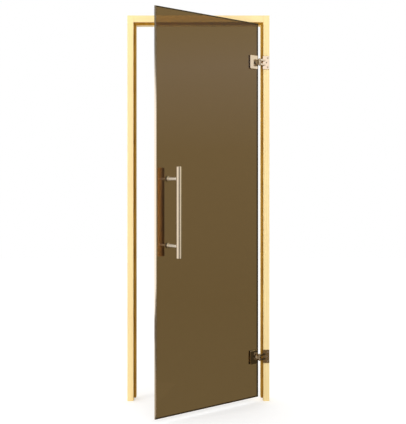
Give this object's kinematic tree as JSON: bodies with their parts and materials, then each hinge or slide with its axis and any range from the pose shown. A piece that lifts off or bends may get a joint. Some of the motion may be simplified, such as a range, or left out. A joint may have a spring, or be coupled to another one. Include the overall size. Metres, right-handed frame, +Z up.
{
  "type": "sauna door",
  "caption": "Sauna door: bronze glass leaf on plate hinges in a sill-less pine frame, with a steel pull outside and a wooden bar inside; the leaf swings from closed to wide open.",
  "frame": {"origin": "on the outer side face of the hinge jamb, at mid-depth, level with the jamb's foot", "axes": "+X out of the hinge jamb's side face, to the right; +Y through the doorway towards the hot room, away from the viewer; +Z up"},
  "size_m": [0.7, 0.4765, 1.9],
  "materials": {
    "pine_frame": "planed pine, clear and satin",
    "seal": "soft brown rubber",
    "hinge_steel": "finely brushed stainless steel",
    "screw_steel": "plain stainless steel",
    "gasket": "thin clear-grey rubber",
    "bronze_glass": "polished bronze-tinted safety glass",
    "handle_steel": "finely brushed stainless steel",
    "handle_wood": "smooth dark-stained hardwood"
  },
  "bodies": {
    "frame": {"left_jamb": "pine_frame", "right_jamb": "pine_frame", "head": "pine_frame", "left_seal": "seal", "right_seal": "seal", "head_seal": "seal", "upper_hinge_frame_plate": "hinge_steel", "upper_hinge_pin": "hinge_steel", "upper_hinge_frame_screws": "screw_steel", "lower_hinge_frame_plate": "hinge_steel", "lower_hinge_pin": "hinge_steel", "lower_hinge_frame_screws": "screw_steel"},
    "leaf": {"glass_leaf": "bronze_glass", "steel_handle_tube": "handle_steel", "wooden_handle_bar": "handle_wood", "handle_bolts": "screw_steel", "upper_hinge_front_clamp": "hinge_steel", "upper_hinge_back_clamp": "hinge_steel", "upper_hinge_front_gasket": "gasket", "upper_hinge_back_gasket": "gasket", "upper_hinge_clamp_screws": "screw_steel", "upper_tube_cap": "handle_steel", "upper_front_standoff": "handle_steel", "upper_back_standoff": "handle_steel", "upper_front_rosette": "handle_steel", "upper_back_rosette": "handle_steel", "upper_handle_washers": "gasket", "lower_hinge_front_clamp": "hinge_steel", "lower_hinge_back_clamp": "hinge_steel", "lower_hinge_front_gasket": "gasket", "lower_hinge_back_gasket": "gasket", "lower_hinge_clamp_screws": "screw_steel", "lower_tube_cap": "handle_steel", "lower_front_standoff": "handle_steel", "lower_back_standoff": "handle_steel", "lower_front_rosette": "handle_steel", "lower_back_rosette": "handle_steel", "lower_handle_washers": "gasket"}
  },
  "joints": [
    {"name": "leaf_swing", "type": "hinge", "parent": "frame", "child": "leaf", "pos_m": [-0.0495, -0.0495, 0], "axis": [0, 0, 1], "range_deg": [-39.3, 80.7]}
  ]
}
